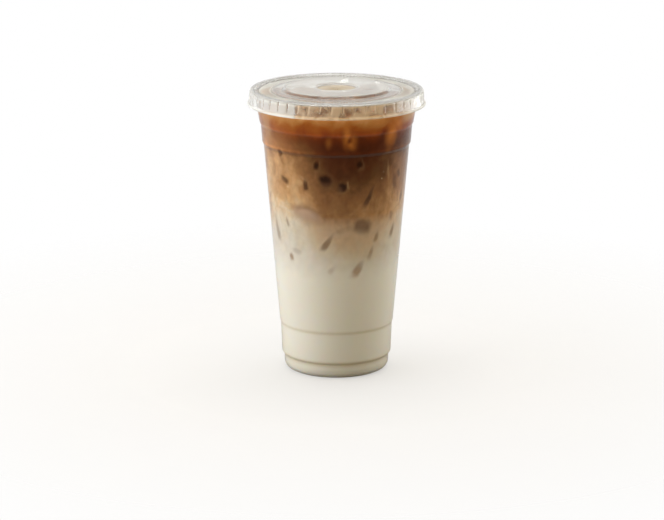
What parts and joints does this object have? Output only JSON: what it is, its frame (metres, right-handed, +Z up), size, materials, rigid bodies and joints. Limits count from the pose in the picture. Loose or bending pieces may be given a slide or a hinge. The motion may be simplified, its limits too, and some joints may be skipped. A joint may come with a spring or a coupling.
{
  "type": "iced coffee in a lidded cup",
  "caption": "Iced milk coffee in a tall tapered clear plastic cup with a flat, fluted, clear press-on lid; milk below, coffee above.",
  "frame": {"origin": "centre of the cup's foot, on the surface that it stands on", "axes": "+Z up along the cup's axis; -Y faces the viewer"},
  "size_m": [0.102, 0.102, 0.1653],
  "materials": {
    "cup_plastic": "clear, glossy, thin thermoformed sheet",
    "lid_plastic": "clear, glossy, thin thermoformed sheet",
    "milk": "opaque white liquid, faintly warm",
    "milk_coffee": "cloudy tan liquid",
    "coffee": "dark brown liquid, clear at its edge",
    "ice": "clear to cloudy ice, wet"
  },
  "bodies": {
    "root": {"cup": "cup_plastic", "lid": "lid_plastic", "milk": "milk", "milk_coffee_blend": "milk_coffee", "coffee": "coffee"}
  },
  "joints": []
}
